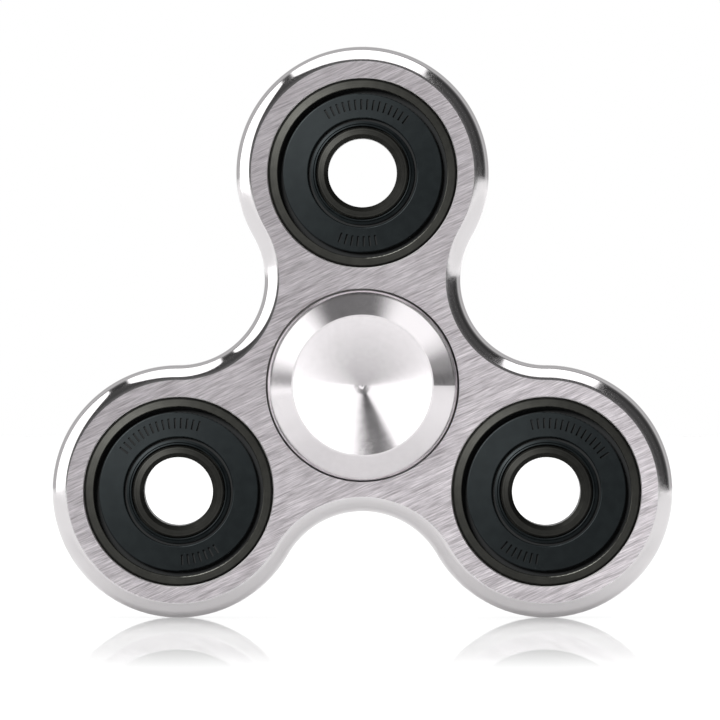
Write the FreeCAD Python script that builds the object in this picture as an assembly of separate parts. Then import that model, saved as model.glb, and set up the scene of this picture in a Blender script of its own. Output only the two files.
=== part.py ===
import FreeCAD
import Part
import math
import os

# A three-lobed fidget spinner. A milled plate carries four standard 22 x 8 x 7 mm ball bearings,
# one in each lobe and one in the middle. Two finger caps screw together through the middle bearing.
#
# Frame: +Z up, front towards -Y, every bearing's axis along Y. The origin is the spinner's centre,
# half way through its thickness, and the spinner stands on its two lower lobes.
# "Height" below means the distance from the middle plane along Y, towards the front or the rear.

FRONT = -1
REAR = 1

# The plate. Its lobes and its waists lie on one circle, 60 degrees apart, so the arcs meet smoothly.
PITCH_RADIUS = 24.7
LOBE_RADIUS = 14.7
WAIST_RADIUS = PITCH_RADIUS - LOBE_RADIUS
EDGE_RADIUS = 1.9
SEAT_CHAMFER = 0.12
MIDDLE_SEAT_CHAMFER = 0.25
LOBE_ANGLES = {"top": 90, "left": 210, "right": 330}
WAIST_TURN = 60
FLAT_EDGE = 0.001

# The bearing's standard sizes.
BEARING_RADIUS = 11.0
BEARING_BORE_RADIUS = 4.0
BEARING_WIDTH = 7.0
FACE_HEIGHT = BEARING_WIDTH / 2
BALL_DIAMETER = 3.969
BALL_RADIUS = BALL_DIAMETER / 2
BALL_COUNT = 7
BALL_CIRCLE_RADIUS = 7.5
RACE_CLEARANCE = 0.05
RACE_RADIUS = BALL_RADIUS + RACE_CLEARANCE

# Outer ring: a flat land, a rounded mouth, and a groove that holds the seal.
OUTER_CHAMFER = 0.28
LAND_INNER_RADIUS = 9.97
MOUTH_RADIUS = 9.85
SEAL_GROOVE_RADIUS = 9.97
SEAL_GROOVE_TOP = 2.3
SEAL_GROOVE_BOTTOM = 1.8
OUTER_SHOULDER_RADIUS = 9.05

# Inner ring: a flat face, then a step that runs under the seal's lip.
BORE_CHAMFER = 0.5
INNER_FACE_RADIUS = 5.15
INNER_EDGE_RADIUS = 5.3
SEAL_STEP_HEIGHT = 2.3
INNER_SHOULDER_RADIUS = 6.05

# Seal: a dished rubber washer with a bead in the outer ring's groove. A moulded groove parts its
# sloping lip, which has one fine line, from its face.
SEAL_LIP_RADIUS = 5.46
SEAL_LIP_HEIGHT = 3.2
SEAL_LIP_ROUNDING = 0.08
LIP_LINE_RADIUS = 5.7
LIP_LINE_HALF_WIDTH = 0.06
LIP_LINE_DEPTH = 0.1
LIP_EDGE_RADIUS = 6.02
LIP_EDGE_HEIGHT = 2.98
SEAL_FOLD_HEIGHT = 2.74
SEAL_FACE_RADIUS = 6.32
SEAL_FACE_HEIGHT = 3.17
SEAL_EDGE_RADIUS = 9.28
SEAL_EDGE_HEIGHT = 2.95
SEAL_ROUNDING = 0.15
SEAL_UNDERSIDE = 2.55
SEAL_BEAD_RADIUS = 9.93
SEAL_BEAD_TOP = 2.2
SEAL_BEAD_BOTTOM = 1.85

# Moulded marks on the seals: a long row of plain ticks and a short row opposite it.
TICK_INNER_RADIUS = 7.35
TICK_OUTER_RADIUS = 8.55
TICK_WIDTH = 0.24
TICK_FLOOR = 2.82
TICK_SPACING = 5.0
LONG_ROW = 15
SHORT_ROW = 7
TICK_ROW_ANGLES = {"center": 90, "top": 86, "left": 108, "right": 67}

# Cage: two pressed halves that meet in the middle plane, held by rivets between the balls.
CAGE_INNER_RADIUS = 6.85
CAGE_OUTER_RADIUS = 8.15
CAGE_SHEET = 0.34
CAGE_CLEARANCE = 0.08
CAGE_POCKET_RADIUS = BALL_RADIUS + CAGE_CLEARANCE
RIVET_RADIUS = 0.3
RIVET_HEAD_RADIUS = 0.5
RIVET_HEAD_HEIGHT = 0.22

# Finger caps.
CAP_RADIUS = 11.02
CAP_GAP = 0.45
CAP_BOSS_RADIUS = 5.1
CAP_UNDERCUT = 0.2
CAP_SHOULDER_ROUNDING = 1.1
CAP_BEVEL_ANGLE = 35.5
CAP_BEVEL_RADIUS = 8.25
CAP_LIP_RADIUS = 8.05
CAP_HEIGHT = 3.3
DISH_DEPTH = 1.15
DISH_MIDDLE_RADIUS = 1.0
STUD_RADIUS = 3.0
STUD_TIP = 2.2
SLEEVE_RADIUS = 3.96
SLEEVE_TIP = 2.3
SLEEVE_BLIND_END = 2.6
THREAD_CHAMFER = 0.3

HALF_ROOT = math.sqrt(0.5)
FULL_TURN = 360
MIDDLE = FreeCAD.Vector(0, 0, 0)
SPIN_AXIS = FreeCAD.Vector(0, 1, 0)


def polar(radius, angle):
    """The point (x, z) at that radius and angle, in degrees from +X towards +Z."""
    turn = math.radians(angle)
    return radius * math.cos(turn), radius * math.sin(turn)


def bearing_centers():
    """Each bearing's name and its centre (x, z)."""
    centers = {"center": (0.0, 0.0)}
    for name, angle in LOBE_ANGLES.items():
        centers[name] = polar(PITCH_RADIUS, angle)
    return centers


def moved(shape, center):
    """A copy of the shape, carried from the spin axis to a bearing's centre."""
    copy = shape.copy()
    copy.translate(FreeCAD.Vector(center[0], 0, center[1]))
    return copy


def round_corner(start, corner, end):
    """The middle and end of the arc that rounds a right-angled corner, from start to end."""
    center = (start[0] + end[0] - corner[0], start[1] + end[1] - corner[1])
    middle = tuple(c + (k - c) * HALF_ROOT for c, k in zip(center, corner))
    return middle + end


def turned(side, section):
    """A solid of revolution about Y. The section is closed, in (radius, height) points on that side.

    A point of four numbers ends an arc: its middle (radius, height), then its end.
    """
    edges = []
    last = section[0]
    for point in section[1:] + section[:1]:
        start = FreeCAD.Vector(last[-2], side * last[-1], 0)
        end = FreeCAD.Vector(point[-2], side * point[-1], 0)
        if len(point) == 4:
            middle = FreeCAD.Vector(point[0], side * point[1], 0)
            edges.append(Part.Arc(start, middle, end).toShape())
        else:
            edges.append(Part.LineSegment(start, end).toShape())
        last = point
    return Part.Face(Part.Wire(edges)).revolve(MIDDLE, SPIN_AXIS, FULL_TURN)


def both_sides(half_section):
    """A ring's whole section, from the half of it that lies above the middle plane."""
    ends = [(point[-2], -point[-1]) for point in half_section]
    mirrored = [ends[-1]]
    for index in range(len(half_section) - 1, 0, -1):
        point = half_section[index]
        arc_middle = (point[0], -point[1]) if len(point) == 4 else ()
        mirrored.append(arc_middle + ends[index - 1])
    return half_section + mirrored


def cylinder(radius, low, high, x=0.0, z=0.0):
    """A cylinder along Y, from one height to another."""
    return Part.makeCylinder(radius, high - low, FreeCAD.Vector(x, low, z), SPIN_AXIS)


def race_groove():
    """The ring-shaped tunnel that the balls run in."""
    return Part.makeTorus(BALL_CIRCLE_RADIUS, RACE_RADIUS, MIDDLE, SPIN_AXIS)


def outline_arc(center_angle, radius, turn, middle_radius):
    """One arc of the plate's outline, between its tangent points with its two neighbours."""
    x, z = polar(PITCH_RADIUS, center_angle)
    points = []
    for side in (-1, 1):
        neighbour_x, neighbour_z = polar(PITCH_RADIUS, center_angle + side * turn)
        share = radius / PITCH_RADIUS
        point = FreeCAD.Vector(x + (neighbour_x - x) * share, 0, z + (neighbour_z - z) * share)
        points.append(point)
    middle_x, middle_z = polar(middle_radius, center_angle)
    return Part.Arc(points[0], FreeCAD.Vector(middle_x, 0, middle_z), points[1]).toShape()


def bearing_seat(chamfer):
    """What a bearing's seat takes out of the plate: a bore with a chamfered mouth on both faces."""
    seat = cylinder(BEARING_RADIUS, -FACE_HEIGHT, FACE_HEIGHT)
    for side in (FRONT, REAR):
        seat = seat.fuse(turned(side, [
            (0, FACE_HEIGHT - chamfer),
            (BEARING_RADIUS, FACE_HEIGHT - chamfer),
            (BEARING_RADIUS + chamfer, FACE_HEIGHT),
            (0, FACE_HEIGHT),
        ]))
    return seat


def plate():
    """The milled plate: three round lobes, three waists, rounded edges and four bearing seats."""
    edges = []
    for angle in LOBE_ANGLES.values():
        edges.append(outline_arc(angle, LOBE_RADIUS, WAIST_TURN, PITCH_RADIUS + LOBE_RADIUS))
        waist_angle = angle + WAIST_TURN
        edges.append(outline_arc(waist_angle, WAIST_RADIUS, WAIST_TURN, PITCH_RADIUS - WAIST_RADIUS))
    outline = Part.Face(Part.Wire(edges))
    outline.translate(FreeCAD.Vector(0, -FACE_HEIGHT, 0))
    blank = outline.extrude(FreeCAD.Vector(0, BEARING_WIDTH, 0))
    rims = [edge for edge in blank.Edges if edge.BoundBox.YLength < FLAT_EDGE]
    blank = blank.makeFillet(EDGE_RADIUS, rims)
    seats = []
    for name, center in bearing_centers().items():
        chamfer = MIDDLE_SEAT_CHAMFER if name == "center" else SEAT_CHAMFER
        seats.append(moved(bearing_seat(chamfer), center))
    return blank.cut(seats)


def outer_ring():
    """The bearing's outer ring, pressed into its seat."""
    rounding = LAND_INNER_RADIUS - MOUTH_RADIUS
    half = [
        (BEARING_RADIUS, FACE_HEIGHT - OUTER_CHAMFER),
        (BEARING_RADIUS - OUTER_CHAMFER, FACE_HEIGHT),
        (LAND_INNER_RADIUS, FACE_HEIGHT),
        round_corner(
            (LAND_INNER_RADIUS, FACE_HEIGHT),
            (MOUTH_RADIUS, FACE_HEIGHT),
            (MOUTH_RADIUS, FACE_HEIGHT - rounding),
        ),
        (MOUTH_RADIUS, SEAL_GROOVE_TOP),
        (SEAL_GROOVE_RADIUS, SEAL_GROOVE_TOP),
        (SEAL_GROOVE_RADIUS, SEAL_GROOVE_BOTTOM),
        (OUTER_SHOULDER_RADIUS, SEAL_GROOVE_BOTTOM),
    ]
    return turned(REAR, both_sides(half)).cut(race_groove())


def inner_ring():
    """The bearing's inner ring, with its 8 mm bore."""
    half = [
        (BEARING_BORE_RADIUS, FACE_HEIGHT - BORE_CHAMFER),
        (BEARING_BORE_RADIUS + BORE_CHAMFER, FACE_HEIGHT),
        (INNER_FACE_RADIUS, FACE_HEIGHT),
        (INNER_EDGE_RADIUS, FACE_HEIGHT + INNER_FACE_RADIUS - INNER_EDGE_RADIUS),
        (INNER_EDGE_RADIUS, SEAL_STEP_HEIGHT),
        (INNER_SHOULDER_RADIUS, SEAL_STEP_HEIGHT),
    ]
    return turned(REAR, both_sides(half)).cut(race_groove())


def tick_marks(side, row_angle):
    """The two rows of shallow ticks that are pressed into a seal."""
    ticks = []
    for middle_angle, count in ((row_angle, LONG_ROW), (row_angle + 180, SHORT_ROW)):
        for index in range(count):
            angle = middle_angle + (index - (count - 1) / 2) * TICK_SPACING
            tick = Part.makeBox(
                TICK_OUTER_RADIUS - TICK_INNER_RADIUS,
                FACE_HEIGHT - TICK_FLOOR,
                TICK_WIDTH,
                FreeCAD.Vector(TICK_INNER_RADIUS, TICK_FLOOR, -TICK_WIDTH / 2),
            )
            if side == FRONT:
                tick = tick.mirror(MIDDLE, SPIN_AXIS)
            tick.rotate(MIDDLE, SPIN_AXIS, -angle)
            ticks.append(tick)
    return ticks


def lip_section():
    """The sloping top of a seal's lip, with its fine line."""
    start_radius = SEAL_LIP_RADIUS + SEAL_LIP_ROUNDING
    slope = (LIP_EDGE_HEIGHT - SEAL_LIP_HEIGHT) / (LIP_EDGE_RADIUS - start_radius)
    line_height = SEAL_LIP_HEIGHT + slope * (LIP_LINE_RADIUS - start_radius)
    line_rise = slope * LIP_LINE_HALF_WIDTH
    return [
        round_corner(
            (SEAL_LIP_RADIUS, SEAL_LIP_HEIGHT - SEAL_LIP_ROUNDING),
            (SEAL_LIP_RADIUS, SEAL_LIP_HEIGHT),
            (start_radius, SEAL_LIP_HEIGHT),
        ),
        (LIP_LINE_RADIUS - LIP_LINE_HALF_WIDTH, line_height - line_rise),
        (LIP_LINE_RADIUS, line_height - LIP_LINE_DEPTH),
        (LIP_LINE_RADIUS + LIP_LINE_HALF_WIDTH, line_height + line_rise),
        (LIP_EDGE_RADIUS, LIP_EDGE_HEIGHT),
    ]


def seal(side, row_angle):
    """A rubber seal on one side of a bearing, with its moulded marks."""
    washer = turned(side, [
        (SEAL_LIP_RADIUS, SEAL_UNDERSIDE),
        (SEAL_LIP_RADIUS, SEAL_LIP_HEIGHT - SEAL_LIP_ROUNDING),
    ] + lip_section() + [
        (LIP_EDGE_RADIUS, SEAL_FOLD_HEIGHT),
        (SEAL_FACE_RADIUS, SEAL_FOLD_HEIGHT),
        (SEAL_FACE_RADIUS, SEAL_FACE_HEIGHT - SEAL_ROUNDING),
        round_corner(
            (SEAL_FACE_RADIUS, SEAL_FACE_HEIGHT - SEAL_ROUNDING),
            (SEAL_FACE_RADIUS, SEAL_FACE_HEIGHT),
            (SEAL_FACE_RADIUS + SEAL_ROUNDING, SEAL_FACE_HEIGHT),
        ),
        (SEAL_EDGE_RADIUS - SEAL_ROUNDING, SEAL_EDGE_HEIGHT),
        round_corner(
            (SEAL_EDGE_RADIUS - SEAL_ROUNDING, SEAL_EDGE_HEIGHT),
            (SEAL_EDGE_RADIUS, SEAL_EDGE_HEIGHT),
            (SEAL_EDGE_RADIUS, SEAL_EDGE_HEIGHT - SEAL_ROUNDING),
        ),
        (SEAL_EDGE_RADIUS, SEAL_BEAD_TOP),
        (SEAL_BEAD_RADIUS, SEAL_BEAD_TOP),
        (SEAL_BEAD_RADIUS, SEAL_BEAD_BOTTOM),
        (OUTER_SHOULDER_RADIUS, SEAL_BEAD_BOTTOM),
        (OUTER_SHOULDER_RADIUS - SEAL_ROUNDING, SEAL_UNDERSIDE),
    ])
    return washer.cut(tick_marks(side, row_angle))


def ball_angles(offset=0.0):
    """The angles of the balls, or of the gaps between them with an offset of half a step."""
    return [(index + offset) * FULL_TURN / BALL_COUNT for index in range(BALL_COUNT)]


def balls():
    """The seven balls, as separate solids."""
    spheres = []
    for angle in ball_angles():
        x, z = polar(BALL_CIRCLE_RADIUS, angle)
        spheres.append(Part.makeSphere(BALL_RADIUS, FreeCAD.Vector(x, 0, z)))
    return Part.makeCompound(spheres)


def cage_half(side):
    """One pressed half of the cage: a flat ring that bulges round each ball."""
    reach = CAGE_POCKET_RADIUS + CAGE_SHEET
    band = cylinder(CAGE_OUTER_RADIUS, 0, reach).cut(cylinder(CAGE_INNER_RADIUS, 0, reach))
    flat = band.common(cylinder(CAGE_OUTER_RADIUS, 0, CAGE_SHEET))
    domes = []
    pockets = []
    for angle in ball_angles():
        x, z = polar(BALL_CIRCLE_RADIUS, angle)
        center = FreeCAD.Vector(x, 0, z)
        domes.append(Part.makeSphere(reach, center).common(band))
        pockets.append(Part.makeSphere(CAGE_POCKET_RADIUS, center))
    rivet_holes = []
    for angle in ball_angles(0.5):
        x, z = polar(BALL_CIRCLE_RADIUS, angle)
        rivet_holes.append(cylinder(RIVET_RADIUS, 0, reach, x, z))
    half = flat.fuse(domes).cut(pockets + rivet_holes)
    return half if side == REAR else half.mirror(MIDDLE, SPIN_AXIS)


def cage_rivets():
    """The rivets through both cage halves, one in each gap between balls."""
    rivets = []
    for angle in ball_angles(0.5):
        x, z = polar(BALL_CIRCLE_RADIUS, angle)
        shank = cylinder(RIVET_RADIUS, -CAGE_SHEET, CAGE_SHEET, x, z)
        top = cylinder(RIVET_HEAD_RADIUS, CAGE_SHEET, CAGE_SHEET + RIVET_HEAD_HEIGHT, x, z)
        bottom = cylinder(RIVET_HEAD_RADIUS, -CAGE_SHEET - RIVET_HEAD_HEIGHT, -CAGE_SHEET, x, z)
        rivets.append(shank.fuse([top, bottom]).removeSplitter())
    return Part.makeCompound(rivets)


def dish_section():
    """The cap's cone-shaped dish, from its lip to the axis, with its middle rounded out."""
    top = FACE_HEIGHT + CAP_HEIGHT
    slope = math.atan2(DISH_DEPTH, CAP_LIP_RADIUS)
    radius = DISH_MIDDLE_RADIUS / math.sin(slope)
    cone_end = top - DISH_DEPTH * (1 - DISH_MIDDLE_RADIUS / CAP_LIP_RADIUS)
    arc_center = cone_end + radius * math.cos(slope)
    return [
        (CAP_LIP_RADIUS, top),
        (DISH_MIDDLE_RADIUS, cone_end),
        (
            radius * math.sin(slope / 2),
            arc_center - radius * math.cos(slope / 2),
            0,
            arc_center - radius,
        ),
    ]


def shoulder_section():
    """A cap's wall, rounded over into the bevel that climbs to the dish's lip."""
    turn = 90 - CAP_BEVEL_ANGLE
    middle_across, middle_up = polar(CAP_SHOULDER_ROUNDING, turn / 2)
    end_across, end_up = polar(CAP_SHOULDER_ROUNDING, turn)
    center = CAP_RADIUS - CAP_SHOULDER_ROUNDING
    top = FACE_HEIGHT + CAP_HEIGHT
    climb = (center + end_across - CAP_BEVEL_RADIUS) * math.tan(math.radians(CAP_BEVEL_ANGLE))
    wall_top = top - climb - end_up
    return [
        (CAP_RADIUS, wall_top),
        (center + middle_across, wall_top + middle_up, center + end_across, wall_top + end_up),
        (CAP_BEVEL_RADIUS, top),
    ]


def cap_section(shank):
    """A finger cap's section, from the shank's end on the axis round to the middle of the dish."""
    underside = FACE_HEIGHT + CAP_GAP
    return shank + [
        (CAP_BOSS_RADIUS, FACE_HEIGHT),
        (CAP_BOSS_RADIUS, underside),
        (CAP_RADIUS - CAP_UNDERCUT, underside),
        (CAP_RADIUS, underside + CAP_UNDERCUT),
    ] + shoulder_section() + dish_section()


def front_cap():
    """The front finger cap, with the stud that screws into the rear cap."""
    shank = [
        (0, -STUD_TIP),
        (STUD_RADIUS - THREAD_CHAMFER, -STUD_TIP),
        (STUD_RADIUS, -STUD_TIP + THREAD_CHAMFER),
        (STUD_RADIUS, FACE_HEIGHT),
    ]
    return turned(FRONT, cap_section(shank))


def rear_cap():
    """The rear finger cap, with the sleeve that fills the middle bearing's bore."""
    shank = [
        (0, SLEEVE_BLIND_END),
        (STUD_RADIUS, SLEEVE_BLIND_END),
        (STUD_RADIUS, -SLEEVE_TIP),
        (SLEEVE_RADIUS, -SLEEVE_TIP),
        (SLEEVE_RADIUS, FACE_HEIGHT),
    ]
    return turned(REAR, cap_section(shank))


def bearing(name):
    """The pieces of one bearing, by node name, centred on the spin axis."""
    row_angle = TICK_ROW_ANGLES[name]
    return {
        name + "_outer_ring": outer_ring(),
        name + "_inner_ring": inner_ring(),
        name + "_balls": balls(),
        name + "_front_cage": cage_half(FRONT),
        name + "_rear_cage": cage_half(REAR),
        name + "_cage_rivets": cage_rivets(),
        name + "_front_seal": seal(FRONT, row_angle),
        name + "_rear_seal": seal(REAR, row_angle),
    }


def pieces():
    """Every piece of the spinner in its place, by node name."""
    made = {"plate": plate(), "front_cap": front_cap(), "rear_cap": rear_cap()}
    for name, center in bearing_centers().items():
        for node, shape in bearing(name).items():
            made[node] = moved(shape, center)
    return made


os.makedirs("parts", exist_ok=True)
for node, shape in pieces().items():
    shape.exportStep(f"parts/{node}.step")
    print(node, len(shape.Solids), "solids", round(shape.Volume, 2), "mm3", shape.isValid())
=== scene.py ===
import bpy
import math
from mathutils import Matrix, Vector, geometry


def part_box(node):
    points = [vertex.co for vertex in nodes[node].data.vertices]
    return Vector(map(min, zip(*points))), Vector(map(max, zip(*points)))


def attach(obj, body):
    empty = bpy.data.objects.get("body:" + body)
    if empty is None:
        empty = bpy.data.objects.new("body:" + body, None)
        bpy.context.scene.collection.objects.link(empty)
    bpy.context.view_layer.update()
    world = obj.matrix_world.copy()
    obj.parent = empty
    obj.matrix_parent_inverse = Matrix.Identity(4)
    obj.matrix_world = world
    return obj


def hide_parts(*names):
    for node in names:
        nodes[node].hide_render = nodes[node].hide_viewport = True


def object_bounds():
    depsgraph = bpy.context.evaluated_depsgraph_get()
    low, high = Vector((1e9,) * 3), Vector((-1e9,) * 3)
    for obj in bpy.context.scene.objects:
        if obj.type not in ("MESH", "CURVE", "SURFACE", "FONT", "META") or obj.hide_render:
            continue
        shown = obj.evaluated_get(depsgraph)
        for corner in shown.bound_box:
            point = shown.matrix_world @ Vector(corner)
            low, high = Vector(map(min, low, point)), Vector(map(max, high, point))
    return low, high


# The looks of the fidget spinner: a finer mesh of its plate, materials for all its pieces, a white
# table, a softbox studio and the camera. Lengths are metres in the CAD's frame, except where a
# section says millimetres: +Z up, the spinner's front towards -Y.

MM = 0.001
BEARINGS = ("center", "top", "left", "right")
CAPS = ("front_cap", "rear_cap")

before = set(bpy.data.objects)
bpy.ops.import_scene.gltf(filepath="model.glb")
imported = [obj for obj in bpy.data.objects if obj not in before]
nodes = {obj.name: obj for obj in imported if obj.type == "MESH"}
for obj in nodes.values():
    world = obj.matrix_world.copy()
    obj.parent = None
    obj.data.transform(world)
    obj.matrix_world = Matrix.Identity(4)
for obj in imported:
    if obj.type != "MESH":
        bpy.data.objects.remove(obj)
cad_low, cad_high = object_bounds()
floor_height = cad_low.z


# ---- Camera: level with the spinner and far off, so that it looks straight along the bearings.

CAMERA_DISTANCE = 1.2
CAMERA_ELEVATION = math.radians(0.5)
CAMERA_TARGET = Vector((-0.29 * MM, 0, 2.92 * MM))
VIEW_WIDTH = 83.67 * MM
SENSOR_WIDTH = 36.0
CAMERA_REACH = 20


def make_camera():
    """The camera, whose view is VIEW_WIDTH wide at the plate's front face."""
    data = bpy.data.cameras.new("camera")
    data.sensor_width = SENSOR_WIDTH
    data.lens = SENSOR_WIDTH * (CAMERA_DISTANCE + cad_front()) / VIEW_WIDTH
    data.clip_end = CAMERA_REACH
    camera = bpy.data.objects.new("camera", data)
    bpy.context.scene.collection.objects.link(camera)
    away = Vector((0, -math.cos(CAMERA_ELEVATION), math.sin(CAMERA_ELEVATION)))
    camera.location = CAMERA_TARGET + away * CAMERA_DISTANCE
    camera.rotation_euler = (math.pi / 2 - CAMERA_ELEVATION, 0, 0)
    bpy.context.scene.camera = camera


def cad_front():
    """The Y of the plate's front face."""
    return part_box("plate")[0].y


# ---- The plate, with the same shape as its CAD node but a mesh fine enough for a mirror-like rim.

PITCH_RADIUS = 24.7 * MM
LOBE_RADIUS = 14.7 * MM
WAIST_RADIUS = PITCH_RADIUS - LOBE_RADIUS
EDGE_RADIUS = 1.9 * MM
HALF_THICKNESS = 3.5 * MM
SEAT_RADIUS = 11.0 * MM
SEAT_CHAMFER = 0.12 * MM
MIDDLE_SEAT_CHAMFER = 0.25 * MM
LOBE_ANGLES = (90, 210, 330)
WAIST_TURN = 60
LOBE_STEPS = 240
WAIST_STEPS = 120
ARC_START = 120
EDGE_STEPS = 28
SEAT_STEPS = 240


def toward(degrees):
    """The direction at that angle from +X towards +Z."""
    turn = math.radians(degrees)
    return Vector((math.cos(turn), 0, math.sin(turn)))


def outline():
    """Points a degree apart round each arc of the outline: their places and outward directions."""
    spots = []
    for lobe_angle in LOBE_ANGLES:
        lobe = toward(lobe_angle) * PITCH_RADIUS
        for step in range(LOBE_STEPS):
            out = toward(lobe_angle - ARC_START + step)
            spots.append((lobe + out * LOBE_RADIUS, out))
        waist_angle = lobe_angle + WAIST_TURN
        waist = toward(waist_angle) * PITCH_RADIUS
        for step in range(WAIST_STEPS):
            inward = toward(waist_angle - ARC_START - step)
            spots.append((waist + inward * WAIST_RADIUS, -inward))
    return spots


def ring_of_points(spots, inset, height):
    """The outline's points, moved inwards and set at a height."""
    return [place - out * inset + Vector((0, height, 0)) for place, out in spots]


class Patchwork:
    """Faces with a chosen normal at each corner, gathered into one mesh."""

    def __init__(self):
        self.points = []
        self.faces = []
        self.normals = []

    def add_points(self, points):
        """Adds points, and returns their numbers."""
        first = len(self.points)
        self.points.extend(points)
        return range(first, len(self.points))

    def add_face(self, corners, normals):
        """Adds a face, wound so that it faces the way its normals point."""
        a, b, c = (self.points[corner] for corner in corners[:3])
        if (b - a).cross(c - a).dot(normals[0]) < 0:
            corners, normals = corners[::-1], normals[::-1]
        self.faces.append(corners)
        self.normals.extend(normals)

    def bridge(self, ring, other, normals, other_normals):
        """Joins two closed rings of points with a band of faces."""
        count = len(ring)
        for index in range(count):
            after = (index + 1) % count
            self.add_face([ring[index], ring[after], other[after], other[index]],
                          [normals[index], normals[after], other_normals[after], other_normals[index]])

    def make(self, name):
        """The finished object."""
        mesh = bpy.data.meshes.new(name)
        mesh.from_pydata(self.points, [], self.faces)
        mesh.shade_smooth()
        mesh.normals_split_custom_set(self.normals)
        made = bpy.data.objects.new(name, mesh)
        bpy.context.scene.collection.objects.link(made)
        return made


def make_plate():
    """The milled plate: its rounded rim, its two flat faces and its four bearing seats."""
    work = Patchwork()
    spots = outline()
    rim = []
    for side in (-1, 1):
        for step in range(EDGE_STEPS + 1):
            tilt = math.pi / 2 * (step / EDGE_STEPS if side < 0 else 1 - step / EDGE_STEPS)
            inset = EDGE_RADIUS * (1 - math.sin(tilt))
            height = side * (HALF_THICKNESS - EDGE_RADIUS * (1 - math.cos(tilt)))
            axial = Vector((0, side * math.cos(tilt), 0))
            normals = [out * math.sin(tilt) + axial for _, out in spots]
            rim.append((work.add_points(ring_of_points(spots, inset, height)), normals))
    for (ring, normals), (other, other_normals) in zip(rim, rim[1:]):
        work.bridge(ring, other, normals, other_normals)

    loops = {-1: [rim[0][0]], 1: [rim[-1][0]]}
    for name in BEARINGS:
        low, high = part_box(name + "_outer_ring")
        middle = (low + high) / 2
        chamfer = MIDDLE_SEAT_CHAMFER if name == "center" else SEAT_CHAMFER
        add_seat(work, Vector((middle.x, 0, middle.z)), chamfer, loops)
    for side, rings in loops.items():
        numbers = [number for ring in rings for number in ring]
        flat = [[work.points[number].xzy for number in ring] for ring in rings]
        facing = Vector((0, side, 0))
        for corners in geometry.tessellate_polygon(flat):
            work.add_face([numbers[corner] for corner in corners], [facing] * 3)
    return work.make("milled_plate")


def add_seat(work, middle, chamfer, loops):
    """A bearing's seat: a bore with a chamfered mouth on both faces."""
    ways = [toward(360 * step / SEAT_STEPS) for step in range(SEAT_STEPS)]
    bore = []
    for side in (-1, 1):
        mouth_height = Vector((0, side * HALF_THICKNESS, 0))
        bore_height = Vector((0, side * (HALF_THICKNESS - chamfer), 0))
        mouth = work.add_points([middle + way * (SEAT_RADIUS + chamfer) + mouth_height for way in ways])
        wall_end = work.add_points([middle + way * SEAT_RADIUS + bore_height for way in ways])
        slanted = [(Vector((0, side, 0)) - way).normalized() for way in ways]
        work.bridge(mouth, wall_end, slanted, slanted)
        loops[side].append(mouth)
        bore.append(wall_end)
    inward = [-way for way in ways]
    work.bridge(bore[0], bore[1], inward, inward)


# ---- Node helpers.

def rgb(red, green, blue):
    """A colour with full alpha."""
    return (red, green, blue, 1.0)


def grey(level):
    """A colour whose three channels are alike."""
    return rgb(level, level, level)


class Wiring:
    """A node tree with short ways to add and join its nodes."""

    def __init__(self, tree):
        self.tree = tree

    def join(self, value, socket):
        """Feeds a socket from another node's output, or sets it to a plain value."""
        if isinstance(value, bpy.types.NodeSocket):
            self.tree.links.new(value, socket)
        else:
            socket.default_value = value

    def add(self, kind, **settings):
        """A new node with its settings made."""
        node = self.tree.nodes.new(kind)
        for name, value in settings.items():
            setattr(node, name, value)
        return node

    def math(self, operation, *values):
        """A number worked out from numbers."""
        node = self.add("ShaderNodeMath", operation=operation)
        for index, value in enumerate(values):
            self.join(value, node.inputs[index])
        return node.outputs[0]

    def vector(self, operation, *values):
        """A vector, or a length or dot product, worked out from vectors."""
        node = self.add("ShaderNodeVectorMath", operation=operation)
        for index, value in enumerate(values):
            self.join(value, node.inputs[index])
        return node.outputs["Value" if operation in ("LENGTH", "DOT_PRODUCT") else "Vector"]

    def noise(self, vector, scale, detail=2.0, roughness=0.5):
        """Noise from 0 to 1 at a point."""
        node = self.add("ShaderNodeTexNoise")
        for name, value in (("Vector", vector), ("Scale", scale),
                            ("Detail", detail), ("Roughness", roughness)):
            self.join(value, node.inputs[name])
        return node.outputs["Fac"]

    def remap(self, value, low, high, to_low, to_high, smooth=False):
        """A number moved from one range to another, and held within it."""
        node = self.add("ShaderNodeMapRange", interpolation_type="SMOOTHSTEP" if smooth else "LINEAR")
        for name, given in (("Value", value), ("From Min", low), ("From Max", high),
                            ("To Min", to_low), ("To Max", to_high)):
            self.join(given, node.inputs[name])
        return node.outputs[0]

    def rise(self, value, low, high):
        """0 below one limit and 1 above the other, with a smooth rise between them."""
        return self.remap(value, low, high, 0.0, 1.0, smooth=True)

    def fall(self, value, low, high):
        """1 below one limit and 0 above the other, with a smooth fall between them."""
        return self.remap(value, low, high, 1.0, 0.0, smooth=True)

    def between(self, kind, share, first, second, blend_type="MIX"):
        """A number, a direction or a colour between two others."""
        node = self.add("ShaderNodeMix", data_type=kind, blend_type=blend_type)
        for name, value in (("Factor", share), ("A", first), ("B", second)):
            self.join(value, node.inputs[name])
        return node.outputs["Result"]

    def mix(self, share, first, second):
        """A colour between two others."""
        return self.between("RGBA", share, first, second)

    def tint(self, color, other):
        """Two colours multiplied."""
        return self.between("RGBA", 1.0, color, other, "MULTIPLY")

    def blend(self, share, first, second):
        """A number between two others."""
        return self.between("FLOAT", share, first, second)

    def turn_between(self, share, first, second):
        """A direction between two others."""
        return self.between("VECTOR", share, first, second)

    def parts(self, vector):
        """The three numbers in a vector."""
        node = self.add("ShaderNodeSeparateXYZ")
        self.join(vector, node.inputs[0])
        return tuple(node.outputs)

    def combine(self, x, y, z):
        """A vector from three numbers."""
        node = self.add("ShaderNodeCombineXYZ")
        for index, value in enumerate((x, y, z)):
            self.join(value, node.inputs[index])
        return node.outputs[0]


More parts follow.
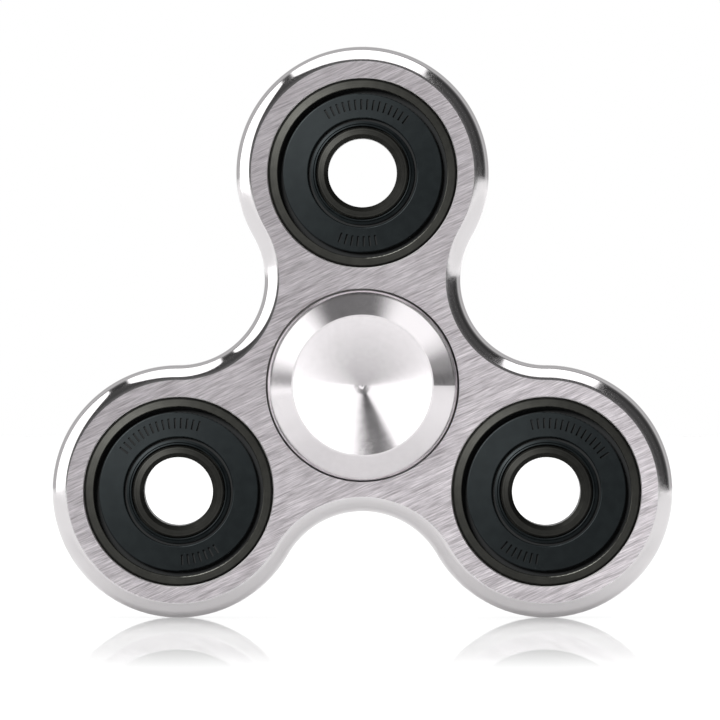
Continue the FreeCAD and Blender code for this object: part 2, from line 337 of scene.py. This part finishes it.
class Shader(Wiring):
    """A material's nodes."""

    def __init__(self, name):
        self.material = bpy.data.materials.new(name)
        self.material.use_nodes = True
        super().__init__(self.material.node_tree)
        self.surface = self.tree.nodes["Principled BSDF"]

    def set(self, **values):
        """Sets the surface's sockets, named with underscores for spaces."""
        for name, value in values.items():
            self.surface.inputs[name.replace("_", " ")].default_value = value

    def feed(self, **values):
        """Feeds the surface's sockets from other nodes, named with underscores for spaces."""
        for name, value in values.items():
            self.join(value, self.surface.inputs[name.replace("_", " ")])

    def bump(self, height, distance, strength=1.0):
        """A normal tilted by a height."""
        node = self.add("ShaderNodeBump")
        for name, value in (("Strength", strength), ("Distance", distance), ("Height", height)):
            self.join(value, node.inputs[name])
        return node.outputs["Normal"]

    def place(self):
        """The point in the object's own coordinates, in millimetres."""
        place = self.add("ShaderNodeTexCoord").outputs["Object"]
        return self.vector("MULTIPLY", place, (1 / MM,) * 3)

    def from_middle(self):
        """The distance from the middle plane, half way through the plate, in millimetres."""
        return self.math("ABSOLUTE", self.parts(self.place())[1])

    def radius(self, place):
        """A point's distance from the Y axis."""
        return self.vector("LENGTH", self.vector("MULTIPLY", place, (1.0, 0.0, 1.0)))

    def turned_about_y(self):
        """The direction of lathe or grinding marks round the Y axis."""
        return self.add("ShaderNodeTangent", direction_type="RADIAL", axis="Y").outputs[0]


# ---- Materials. Their lengths are millimetres, and a noise's scale is cells for each millimetre.

# The stretches that most of a noise's values lie in, and the same for the sum of two noises.
WIDE_NOISE = (0.3, 0.7)
NARROW_NOISE = (0.35, 0.65)
TWO_NOISES = (0.7, 1.3)

# The plate's faces are brushed along one angle. They bow a little along FACE_LEAN, and their colour carries
# a painted shade that darkens them towards the upper left, against FACE_LEAN.
PLATE_FACE = 3.495
FACE_DEPTH = 0.008
BRUSH_ANGLE = math.radians(25)
STREAK_STRETCH = 0.06
FINE_STREAKS = 6.0
BROAD_STREAKS = 1.5
FINE_SHARE = 0.65
STREAK_RANGE = (0.34, 0.66)
STREAK_DEPTH = 0.014
STREAK_ROUGHNESS = (0.46, 0.34)
STREAK_DARK = rgb(0.37, 0.34, 0.36)
STREAK_BRIGHT = rgb(0.97, 0.918, 0.955)
FACE_LEAN = (0.55, 0.0, -0.84)
FACE_CROWN = 0.0024
LEAN_RANGE = (-25.0, 30.0)
FACE_PAINTED_SHADE = grey(0.83)
RIM_COLOR = rgb(0.63, 0.612, 0.62)
RIM_WEAR = 1.7
RIM_ROUGHNESS = (0.07, 0.12)
SEAT_ROUGHNESS = 0.5
SEAT_REACH = 12.0
SEAT_MARGIN = 0.1

# The caps are turned, with a dish that is smoother than the bevel round it. Their colour carries a painted
# shade that darkens them towards the middle.
DISH_EDGE = (8.15, 8.25)
GROOVES = 9.0
GROOVE_SHARE = 0.6
GROOVE_DEPTH = 0.002
GROOVE_STRENGTH = 0.4
CAP_CLOUDS = 1.6
CAP_DARK = rgb(0.67, 0.643, 0.658)
CAP_BRIGHT = rgb(0.76, 0.733, 0.748)
CAP_MIDDLE_PAINTED_SHADE = grey(0.6)
MIDDLE_SHADE_RADII = (0.5, 7.5)
DISH_ROUGHNESS = (0.12, 0.17)
BEVEL_ROUGHNESS = (0.2, 0.27)
CROSSWISE = 0.25

# The bearings' rings, with ground faces that bow a little, and their seals. The inner rings' ground faces
# carry a painted shade, darker than the outer rings'.
OUTER_RING_SIZE = 22.0
INNER_RING_SIZE = 12.1
RING_FACE = 3.46
RING_FACE_DEPTH = 0.05
RING_CROWN = 0.09
GRINDING = 6.0
GRINDING_DEPTH = 0.004
RING_BLOTCHES = 0.8
OXIDE_DARK = rgb(0.008, 0.008, 0.007)
OXIDE_BRIGHT = rgb(0.018, 0.018, 0.016)
GROUND_LEVELS = (0.013, 0.021)
GROUND_BLUE = 0.88
# Painted shade: the inner ring's ground faces are this share as bright as the outer ring's.
INNER_RING_PAINTED_SHADE = 0.6
RING_ROUGHNESS = (0.34, 0.46)
SEAL_FACE = 2.92
SEAL_FACE_DEPTH = 0.05
SEAL_GRAIN = 14.0
SEAL_CLOUDS = 0.9
SEAL_DARK = rgb(0.0010, 0.0014, 0.0016)
SEAL_BRIGHT = rgb(0.0018, 0.0024, 0.0026)
# Painted light: the grooves' colour is lighter than the face's, though it is the same rubber.
SEAL_GROOVE = grey(0.007)
SEAL_GROOVE_ROUGHNESS = 0.9
SEAL_ROUGHNESS = (0.40, 0.54)
GRAIN_DEPTH = 0.006
GRAIN_STRENGTH = 0.35
STEEL_WEAR = 2.2
STEEL_DULLING = 0.8


def nearest_bearing(shader, place):
    """The distance from a point to the nearest bearing's axis."""
    nearest = SEAT_REACH * 2
    for name in BEARINGS:
        low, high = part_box(name + "_outer_ring")
        middle = (low + high) / (2 * MM)
        distance = shader.radius(shader.vector("SUBTRACT", place, (middle.x, 0.0, middle.z)))
        nearest = shader.math("MINIMUM", distance, nearest)
    return nearest


def weighted(shader, first, second, share):
    """The sum of two numbers, the first one by its share and the second one by the rest."""
    return shader.math("ADD", shader.math("MULTIPLY", first, share),
                       shader.math("MULTIPLY", second, 1 - share))


def brushing(shader, place, along, across):
    """Streaks from 0 to 1, fine ones over broad ones."""
    lengthwise = shader.math("MULTIPLY", shader.vector("DOT_PRODUCT", place, along), STREAK_STRETCH)
    streak_place = shader.combine(lengthwise, shader.vector("DOT_PRODUCT", place, across), 0.0)
    fine = shader.noise(streak_place, FINE_STREAKS, detail=4.0, roughness=0.7)
    broad = shader.noise(streak_place, BROAD_STREAKS, detail=3.0, roughness=0.6)
    return weighted(shader, fine, broad, FINE_SHARE)


def brushed_plate():
    """Aluminium with straight-brushed faces, a polished round rim and matt bearing seats."""
    shader = Shader("brushed_plate")
    place = shader.place()
    along = (math.cos(BRUSH_ANGLE), 0.0, math.sin(BRUSH_ANGLE))
    across = (-math.sin(BRUSH_ANGLE), 0.0, math.cos(BRUSH_ANGLE))
    streaks = brushing(shader, place, along, across)
    face = shader.rise(shader.from_middle(), PLATE_FACE - FACE_DEPTH, PLATE_FACE)

    lean = shader.vector("DOT_PRODUCT", place, FACE_LEAN)
    brushed = shader.mix(shader.remap(streaks, *STREAK_RANGE, 0.0, 1.0), STREAK_DARK, STREAK_BRIGHT)
    # Painted shade: the face's colour is up to 17% darker towards its upper left, standing in for how the
    # light falls there.
    painted_shade = shader.mix(shader.remap(lean, *LEAN_RANGE, 0.0, 1.0), FACE_PAINTED_SHADE, grey(1.0))
    color = shader.mix(face, RIM_COLOR, shader.tint(brushed, painted_shade))

    face_roughness = shader.remap(streaks, *STREAK_RANGE, *STREAK_ROUGHNESS)
    rim_wear = shader.noise(place, RIM_WEAR, detail=3.0)
    rim_roughness = shader.remap(rim_wear, *WIDE_NOISE, *RIM_ROUGHNESS)
    seat = shader.remap(nearest_bearing(shader, place), SEAT_REACH, SEAT_REACH + SEAT_MARGIN, 1.0, 0.0)
    edge_roughness = shader.blend(seat, rim_roughness, SEAT_ROUGHNESS)
    roughness = shader.blend(face, edge_roughness, face_roughness)

    crown = shader.math("MULTIPLY", shader.math("MULTIPLY", lean, lean), -FACE_CROWN)
    relief = shader.math("ADD", shader.math("MULTIPLY", streaks, STREAK_DEPTH), crown)
    smooth = shader.add("ShaderNodeNewGeometry").outputs["Normal"]
    normal = shader.turn_between(face, smooth, shader.bump(relief, MM))
    shader.feed(Base_Color=color, Roughness=roughness, Tangent=shader.combine(*across), Normal=normal)
    shader.set(Metallic=1.0, Anisotropic=0.7)
    return shader.material


def turned_cap():
    """Aluminium turned on a lathe and polished, so that it shines in wedges."""
    shader = Shader("turned_cap")
    place = shader.place()
    radius = shader.radius(place)
    grooves = shader.noise(shader.combine(radius, 0.0, 0.0), GROOVES, detail=4.0, roughness=0.6)
    clouds = shader.noise(place, CAP_CLOUDS, detail=3.0, roughness=0.6)
    shade = weighted(shader, grooves, clouds, GROOVE_SHARE)
    metal = shader.mix(shader.remap(shade, *NARROW_NOISE, 0.0, 1.0), CAP_DARK, CAP_BRIGHT)
    # Painted shade: the cap's colour darkens to 60% towards its middle, standing in for shade there.
    painted_middle_shade = shader.mix(shader.remap(radius, *MIDDLE_SHADE_RADII, 0.0, 1.0), CAP_MIDDLE_PAINTED_SHADE, grey(1.0))
    dish_roughness = shader.remap(shade, *NARROW_NOISE, *DISH_ROUGHNESS)
    bevel_roughness = shader.remap(shade, *NARROW_NOISE, *BEVEL_ROUGHNESS)
    bevel = shader.remap(radius, *DISH_EDGE, 0.0, 1.0)
    shader.feed(Base_Color=shader.tint(metal, painted_middle_shade),
                Roughness=shader.blend(bevel, dish_roughness, bevel_roughness),
                Tangent=shader.turned_about_y(),
                Normal=shader.bump(grooves, GROOVE_DEPTH * MM, GROOVE_STRENGTH))
    shader.set(Metallic=1.0, Anisotropic=0.7, Anisotropic_Rotation=CROSSWISE)
    return shader.material


def black_ring(name, size, shade_share):
    """Bearing steel, black oxide all over but for its faces, which are ground about its own axis."""
    shader = Shader(name)
    generated = shader.add("ShaderNodeTexCoord").outputs["Generated"]
    from_axis = shader.vector("MULTIPLY", shader.vector("SUBTRACT", generated, (0.5, 0.5, 0.5)),
                              (size, 0.0, size))
    radius = shader.vector("LENGTH", from_axis)
    grinding = shader.noise(shader.combine(radius, 0.0, 0.0), GRINDING, detail=4.0, roughness=0.6)
    blotches = shader.noise(from_axis, RING_BLOTCHES, detail=3.0, roughness=0.6)
    shade = shader.remap(shader.math("ADD", grinding, blotches), *TWO_NOISES, 0.0, 1.0)
    ground = shader.rise(shader.from_middle(), RING_FACE - RING_FACE_DEPTH, RING_FACE)
    oxide = shader.mix(shade, OXIDE_DARK, OXIDE_BRIGHT)
    # Painted shade: a shade_share below 1 darkens the ground faces of a copy of the same steel.
    levels = [level * shade_share for level in GROUND_LEVELS]
    steel = shader.mix(shade, *(rgb(level, level, level * GROUND_BLUE) for level in levels))
    crown = shader.math("ADD", shader.math("MULTIPLY", grinding, GRINDING_DEPTH),
                        shader.math("MULTIPLY", radius, -RING_CROWN))
    shader.feed(Base_Color=shader.mix(ground, oxide, steel),
                Roughness=shader.remap(grinding, *WIDE_NOISE, *RING_ROUGHNESS),
                Tangent=shader.turned_about_y(),
                Normal=shader.bump(crown, MM))
    shader.set(Metallic=0.9, Anisotropic=0.3, Anisotropic_Rotation=CROSSWISE)
    return shader.material


def seal_rubber():
    """Dark blue-black moulded rubber with a fine grain, which is quite matt down in its grooves."""
    shader = Shader("seal_rubber")
    place = shader.place()
    grain = shader.noise(place, SEAL_GRAIN, detail=3.0, roughness=0.6)
    cloud = shader.noise(place, SEAL_CLOUDS)
    face = shader.mix(shader.remap(cloud, *NARROW_NOISE, 0.0, 1.0), SEAL_DARK, SEAL_BRIGHT)
    proud = shader.rise(shader.from_middle(), SEAL_FACE - SEAL_FACE_DEPTH, SEAL_FACE)
    roughness = shader.remap(grain, *WIDE_NOISE, *SEAL_ROUGHNESS)
    # Painted light: down in its grooves the rubber is matt and coloured lighter than its face.
    shader.feed(Base_Color=shader.mix(proud, SEAL_GROOVE, face),
                Roughness=shader.blend(proud, SEAL_GROOVE_ROUGHNESS, roughness),
                Normal=shader.bump(grain, GRAIN_DEPTH * MM, GRAIN_STRENGTH))
    shader.set(Specular_IOR_Level=0.09, Specular_Tint=rgb(0.86, 0.97, 1.0))
    return shader.material


def bright_steel(name, roughness, color):
    """Polished balls or pressed cages, seen only through the gaps of the seals."""
    shader = Shader(name)
    wear = shader.noise(shader.place(), STEEL_WEAR, detail=4.0, roughness=0.6)
    darker = rgb(*(channel * STEEL_DULLING for channel in color[:3]))
    shader.feed(Base_Color=shader.mix(wear, darker, color),
                Roughness=shader.remap(wear, *WIDE_NOISE, *roughness))
    shader.set(Metallic=1.0)
    return shader.material


def cover(node, material):
    """Gives a CAD node its finished material."""
    slots = nodes[node].data.materials
    slots.clear()
    slots.append(material)


def finish_nodes():
    """Every CAD node's material, and the plate's finer mesh. Returns the plate."""
    plate = make_plate()
    plate.data.materials.append(brushed_plate())
    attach(plate, "frame")
    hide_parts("plate")
    cap = turned_cap()
    for name in CAPS:
        cover(name, cap)
    outer = black_ring("outer_ring_steel", OUTER_RING_SIZE, 1.0)
    inner = black_ring("inner_ring_steel", INNER_RING_SIZE, INNER_RING_PAINTED_SHADE)
    rubber = seal_rubber()
    ball = bright_steel("ball_steel", (0.05, 0.1), grey(0.8))
    cage = bright_steel("cage_steel", (0.25, 0.4), rgb(0.6, 0.58, 0.55))
    for name in BEARINGS:
        cover(name + "_outer_ring", outer)
        cover(name + "_inner_ring", inner)
        cover(name + "_balls", ball)
        for part in ("_front_cage", "_rear_cage", "_cage_rivets"):
            cover(name + part, cage)
        for part in ("_front_seal", "_rear_seal"):
            cover(name + part, rubber)
    return plate


# ---- Table. Its material's lengths are millimetres, along X or Y from the spinner.

TABLE_HALF_SIDE = 1.3
# Painted light and shade: the table's colour is darker near the spinner and whiter far off, where the table
# light falls away.
TABLE_NEAR = grey(0.765)
TABLE_FAR = grey(0.95)
WHITENING = (180.0, 500.0)
MIRROR_COLOR = grey(0.93)
MIRROR_ROUGHNESS = 0.003
MIRROR_IOR = 1.4
NEAR_GLOSS = 0.84
FAR_GLOSS = 0.54
FAR_GLOSS_AWAY = 60.0
GLOSS_ENDS_AWAY = (95.0, 185.0)
GLOSS_ENDS_ACROSS = (42.0, 65.0)


def table_top():
    """A white surface with a faint mirror gloss round the spinner."""
    shader = Shader("table_top")
    shader.set(Roughness=0.6, Specular_IOR_Level=0.0)
    place = shader.place()
    # Painted light and shade: darker within WHITENING of the spinner, lighter beyond it.
    far = shader.rise(shader.vector("LENGTH", place), *WHITENING)
    shader.feed(Base_Color=shader.mix(far, TABLE_NEAR, TABLE_FAR))
    across, away, _ = shader.parts(shader.vector("ABSOLUTE", place))
    gloss = shader.remap(away, 0.0, FAR_GLOSS_AWAY, NEAR_GLOSS, FAR_GLOSS)
    gloss = shader.math("MULTIPLY", gloss, shader.fall(away, *GLOSS_ENDS_AWAY))
    gloss = shader.math("MULTIPLY", gloss, shader.fall(across, *GLOSS_ENDS_ACROSS))
    grazing = shader.add("ShaderNodeFresnel")
    grazing.inputs["IOR"].default_value = MIRROR_IOR
    mirror = shader.add("ShaderNodeBsdfGlossy")
    mirror.inputs["Roughness"].default_value = MIRROR_ROUGHNESS
    mirror.inputs["Color"].default_value = MIRROR_COLOR
    both = shader.add("ShaderNodeMixShader")
    share = shader.math("MULTIPLY", gloss, grazing.outputs[0])
    for layer, socket in zip((share, shader.surface.outputs[0], mirror.outputs[0]), both.inputs):
        shader.join(layer, socket)
    shader.join(both.outputs[0], shader.tree.nodes["Material Output"].inputs["Surface"])
    return shader.material


def make_table():
    """The table that the spinner stands on."""
    side = TABLE_HALF_SIDE
    mesh = bpy.data.meshes.new("table")
    corners = [(-side, -side, floor_height), (side, -side, floor_height),
               (side, side, floor_height), (-side, side, floor_height)]
    mesh.from_pydata(corners, [], [(0, 1, 2, 3)])
    table = bpy.data.objects.new("table", mesh)
    bpy.context.scene.collection.objects.link(table)
    mesh.materials.append(table_top())
    return table


# ---- Studio.

UP = Vector((0, 0, 1))

# How bright the world is in a reflection, by how far the direction points from front (-1) to rear.
WORLD_GLOW = ((-1.0, 0.28), (-0.97, 0.2), (-0.9, 0.11), (-0.6, 0.09), (0.0, 0.09), (0.17, 0.24),
              (0.35, 0.66), (0.85, 0.62), (0.96, 1.1), (1.0, 1.1))

# A softbox's front edge can be cut back from one end to the other, along a curve of this power.
TIP_CURVE = 0.55
TIP_SOFTNESS = 0.04

# The low walls round the table, which only its gloss shows.
HORIZON_DISTANCE = 1.4
HORIZON_HEIGHT = 0.5
HORIZON_RADIANCE = 1.05

# The bearings' light shines from the upper left, in front.
BEARING_LIGHT_WAY = Vector((0.42, 0.82, -0.42)).normalized()
BEARING_LIGHT_DISTANCE = 0.7

# The caps' softboxes stand round the spinner's axis. Each set gives its distance from the axis and
# the two Ys that it reaches. Each softbox has its first and last azimuth in degrees from +X towards
# +Z, its radiance, and the shares of it that fade at its two ends.
CAP_SOFTBOXES = (
    (0.2, -1.1, -0.35, (("dish_right", -24, 97.5, 2.4, (0.25, 0.03)),
                        ("dish_left", 115.5, 208, 2.4, (0.12, 0.45)))),
    (0.025, -0.1375, -0.044, (("dish_low_right", -60, 4, 0.36, (0.85, 0.05)),
                              ("dish_low_left", 184, 206, 0.3, (0.05, 0.9)))),
    (0.25, -0.2, -0.06, (("bevel_right", 16, 82, 1.75, (0.32, 0.35)),
                         ("bevel_side", 4, 30, 0.36, (0.3, 0.2)),
                         ("bevel_top", 63, 131, 0.14, (0.1, 0.1)),
                         ("bevel_left", 115, 180, 2.1, (0.35, 0.35)),
                         ("bevel_far_left", 174, 192, 0.5, (0.3, 0.3)))),
)


def make_world():
    """A white backdrop to the camera. What the metal mirrors is dim in front and lighter behind."""
    world = bpy.data.worlds.new("studio")
    bpy.context.scene.world = world
    world.use_nodes = True
    wiring = Wiring(world.node_tree)
    ramp = wiring.add("ShaderNodeFloatCurve")
    wiring.join(wiring.parts(wiring.add("ShaderNodeTexCoord").outputs["Generated"])[1], ramp.inputs["Value"])
    curve = ramp.mapping.curves[0]
    ramp.mapping.clip_min_x = -1.0
    curve.points[0].location = WORLD_GLOW[0]
    curve.points[1].location = WORLD_GLOW[-1]
    for toward_rear, glow in WORLD_GLOW[1:-1]:
        curve.points.new(toward_rear, glow)
    ramp.mapping.update()
    seen_directly = wiring.add("ShaderNodeLightPath").outputs["Is Camera Ray"]
    background = world.node_tree.nodes["Background"]
    background.inputs["Color"].default_value = grey(1.0)
    wiring.join(wiring.blend(seen_directly, ramp.outputs["Value"], 1.0), background.inputs["Strength"])


def receivers(name, members):
    """The things that a softbox lights."""
    group = bpy.data.collections.new(name)
    for member in members:
        group.objects.link(member)
    return group


def softbox(name, place, size, axes, radiance, lit):
    """A rectangular softbox that lights some things only. It shines along minus its third axis."""
    data = bpy.data.lights.new(name, "AREA")
    data.shape = "RECTANGLE"
    data.size, data.size_y = size
    data.energy = radiance * math.pi * size[0] * size[1]
    light = bpy.data.objects.new(name, data)
    bpy.context.scene.collection.objects.link(light)
    light.matrix_world = Matrix.Translation(place) @ Matrix(axes).transposed().to_4x4()
    light.visible_camera = False
    light.light_linking.receiver_collection = lit
    return light


def shade_softbox(data, flipped, softness, tip):
    """Softens a softbox's two ends, and cuts its front back towards its start, so that it has a tip."""
    data.use_nodes = True
    wiring = Wiring(data.node_tree)
    along, deep, _ = wiring.parts(wiring.add("ShaderNodeNewGeometry").outputs["Parametric"])
    if flipped:
        along = wiring.math("SUBTRACT", 1.0, along)
    start = wiring.rise(along, 0.0, softness[0])
    end = wiring.rise(wiring.math("SUBTRACT", 1.0, along), 0.0, softness[1])
    reach = wiring.math("POWER", along, TIP_CURVE)
    cut = wiring.math("MULTIPLY", wiring.math("SUBTRACT", 1.0, reach), tip)
    front = wiring.rise(deep, cut, wiring.math("ADD", cut, TIP_SOFTNESS))
    strength = wiring.math("MULTIPLY", wiring.math("MULTIPLY", start, end), front)
    wiring.join(strength, data.node_tree.nodes["Emission"].inputs["Strength"])


def wall(name, start, end, far, near, radiance, lit, softness=(0.02, 0.02), tip=0.0):
    """A softbox beside the spinner, from one (x, z) point to another, and from one y to another."""
    start, end = Vector((start[0], 0, start[1])), Vector((end[0], 0, end[1]))
    along = (end - start).normalized()
    deep = Vector((0, 1, 0))
    center = (start + end) / 2
    flipped = along.cross(deep).dot(center) < 0
    if flipped:
        along = -along
    center.y = (far + near) / 2
    light = softbox(name, center, ((end - start).length, near - far),
                    (along, deep, along.cross(deep)), radiance, lit)
    shade_softbox(light.data, flipped, softness, tip)


def fan(name, start, end, distance, far, near, radiance, lit, softness):
    """A softbox wall from one azimuth to another, in degrees from +X towards +Z."""
    turn = math.radians((start + end) / 2)
    half = distance * math.tan(math.radians((end - start) / 2))
    middle = Vector((distance * math.cos(turn), distance * math.sin(turn)))
    side = Vector((-math.sin(turn), math.cos(turn))) * half
    wall(name, middle - side, middle + side, far, near, radiance, lit, softness)


def light_table(table):
    """Soft light from above, and white walls at the sides and the front for the table's gloss."""
    lit = receivers("lit_table", [table])
    level = (Vector((1, 0, 0)), Vector((0, 1, 0)), UP)
    main = softbox("table_light", place=Vector((0, 0, 1.6)), size=(5.0, 5.0), axes=level,
                   radiance=1.18, lit=lit)
    main.data.use_shadow = False
    softbox("contact_light", place=Vector((0, 0, 0.5)), size=(1.0, 0.5), axes=level, radiance=1.1, lit=lit)
    for name, way in (("left_horizon", Vector((-1, 0, 0))), ("right_horizon", Vector((1, 0, 0))),
                      ("front_horizon", Vector((0, -1, 0)))):
        center = way * HORIZON_DISTANCE + UP * (floor_height + HORIZON_HEIGHT / 2)
        horizon = softbox(name, center, size=(HORIZON_DISTANCE * 2, HORIZON_HEIGHT),
                          axes=(UP.cross(way), UP, way), radiance=HORIZON_RADIANCE, lit=lit)
        horizon.visible_diffuse = False


def light_studio(table, plate):
    """Softboxes for the table, for the plate, above it and to its left, for the bearings and the caps."""
    light_table(table)
    facing = (Vector((1, 0, 0)), UP, Vector((0, -1, 0)))
    metal = receivers("lit_metal", [plate])
    softbox("front_light", place=Vector((0, -1.1, 0.01)), size=(0.16, 0.16), axes=facing,
            radiance=1.2, lit=metal)
    wall("overhead", start=(-0.13, 0.2), end=(0.2475, 0.42), far=-0.81, near=0.05,
         radiance=2.0, lit=metal, tip=0.85)
    wall("left_wall", start=(-0.3, 0.37), end=(-0.3, -0.02), far=-0.67, near=0.055,
         radiance=2.0, lit=metal, tip=0.8)

    bearing_parts = [name for name in nodes if name != "plate" and name not in CAPS]
    bearings = receivers("lit_bearings", [nodes[name] for name in bearing_parts])
    across = BEARING_LIGHT_WAY.cross(UP).normalized()
    tilted = (across, BEARING_LIGHT_WAY.cross(across).normalized(), -BEARING_LIGHT_WAY)
    softbox("bearing_light", place=-BEARING_LIGHT_WAY * BEARING_LIGHT_DISTANCE, size=(0.22, 0.22),
            axes=tilted, radiance=125.0, lit=bearings)

    caps = receivers("lit_caps", [nodes[name] for name in CAPS])
    softbox("lip_light", place=Vector((0.05, -1.1, 0)), size=(0.3, 0.2), axes=facing,
            radiance=0.8, lit=caps)
    for distance, far, near, fans in CAP_SOFTBOXES:
        for name, start, end, radiance, softness in fans:
            fan(name, start, end, distance, far, near, radiance, caps, softness)


make_camera()
make_world()
tabletop = make_table()
milled_plate = finish_nodes()
light_studio(tabletop, milled_plate)
bpy.context.scene.view_settings.view_transform = "Standard"
